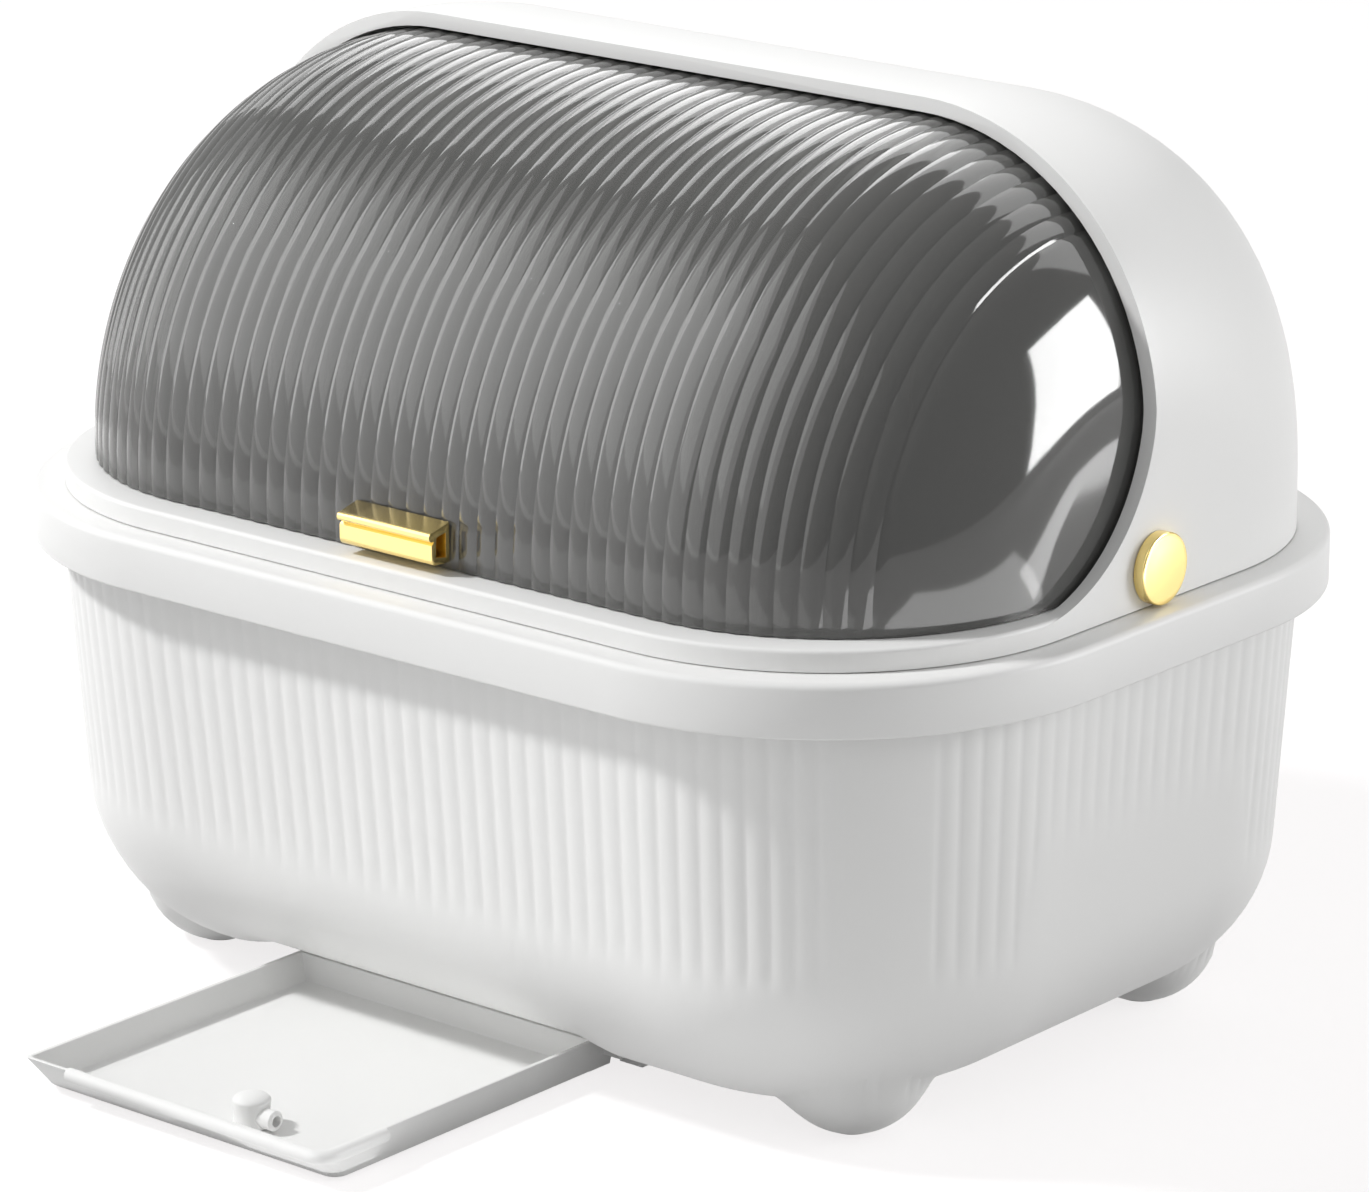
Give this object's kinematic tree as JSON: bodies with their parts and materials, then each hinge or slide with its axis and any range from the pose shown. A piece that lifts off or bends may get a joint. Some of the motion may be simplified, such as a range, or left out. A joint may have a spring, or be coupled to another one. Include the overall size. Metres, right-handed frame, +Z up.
{
  "type": "covered dish drainer",
  "caption": "Covered dish drainer: fluted tub on ball feet, smoked lid that rolls back under a rear cover, inner rack, cutlery cup and slide-out drip tray.",
  "frame": {"origin": "centre of the bounding box at its bottom, on the surface the drainer stands on, with the drip tray pulled out and the lid shut", "axes": "+X along the drainer's length, to the right seen from the front; -Y out of the front, where the drip tray slides out; +Z up"},
  "size_m": [0.4, 0.3629, 0.302],
  "materials": {
    "white_plastic": "white moulded plastic, half gloss",
    "tray_plastic": "white moulded plastic, a little duller",
    "smoked_plastic": "clear smoked grey plastic, polished, fluted",
    "gold_metal": "polished gold plating",
    "steel": "plain stainless steel",
    "natural_nylon": "natural nylon",
    "soft_pad": "grey soft rubber"
  },
  "bodies": {
    "tub": {"tub": "white_plastic", "foot_pad_1": "soft_pad", "foot_pad_2": "soft_pad", "foot_pad_3": "soft_pad", "foot_pad_4": "soft_pad", "tray_rail_left": "white_plastic", "tray_rail_right": "white_plastic", "rail_screw_1": "steel", "rail_screw_2": "steel", "rail_screw_3": "steel", "rail_screw_4": "steel"},
    "cover": {"cover": "white_plastic", "pivot_washer_left": "natural_nylon", "pivot_washer_right": "natural_nylon"},
    "lid": {"smoked_lid": "smoked_plastic", "lid_handle": "gold_metal", "handle_screw_left": "steel", "handle_screw_right": "steel", "pivot_cap_left": "gold_metal", "pivot_cap_right": "gold_metal", "pivot_pin_left": "steel", "pivot_pin_right": "steel", "pivot_nut_left": "steel", "pivot_nut_right": "steel"},
    "rack": {"drain_rack": "white_plastic", "plate_comb_front": "white_plastic", "plate_comb_rear": "white_plastic"},
    "cup": {"cutlery_cup": "white_plastic"},
    "tray": {"drip_tray": "tray_plastic", "tray_knob": "white_plastic"}
  },
  "joints": [
    {"name": "cover_lift", "type": "slide", "parent": "tub", "child": "cover", "axis": [0, 0, 1], "range_m": [0, 0.15]},
    {"name": "lid_pivot", "type": "hinge", "parent": "cover", "child": "lid", "pos_m": [0, 0.0358, 0.171], "axis": [-1, 0, 0], "range_deg": [0, 83]},
    {"name": "rack_lift", "type": "slide", "parent": "tub", "child": "rack", "axis": [0, 0, 1], "range_m": [0, 0.06]},
    {"name": "cup_lift", "type": "slide", "parent": "rack", "child": "cup", "axis": [0, 0, 1], "range_m": [0, 0.045]},
    {"name": "tray_slide", "type": "slide", "parent": "tub", "child": "tray", "axis": [0, 1, 0], "range_m": [0, 0.086]}
  ]
}
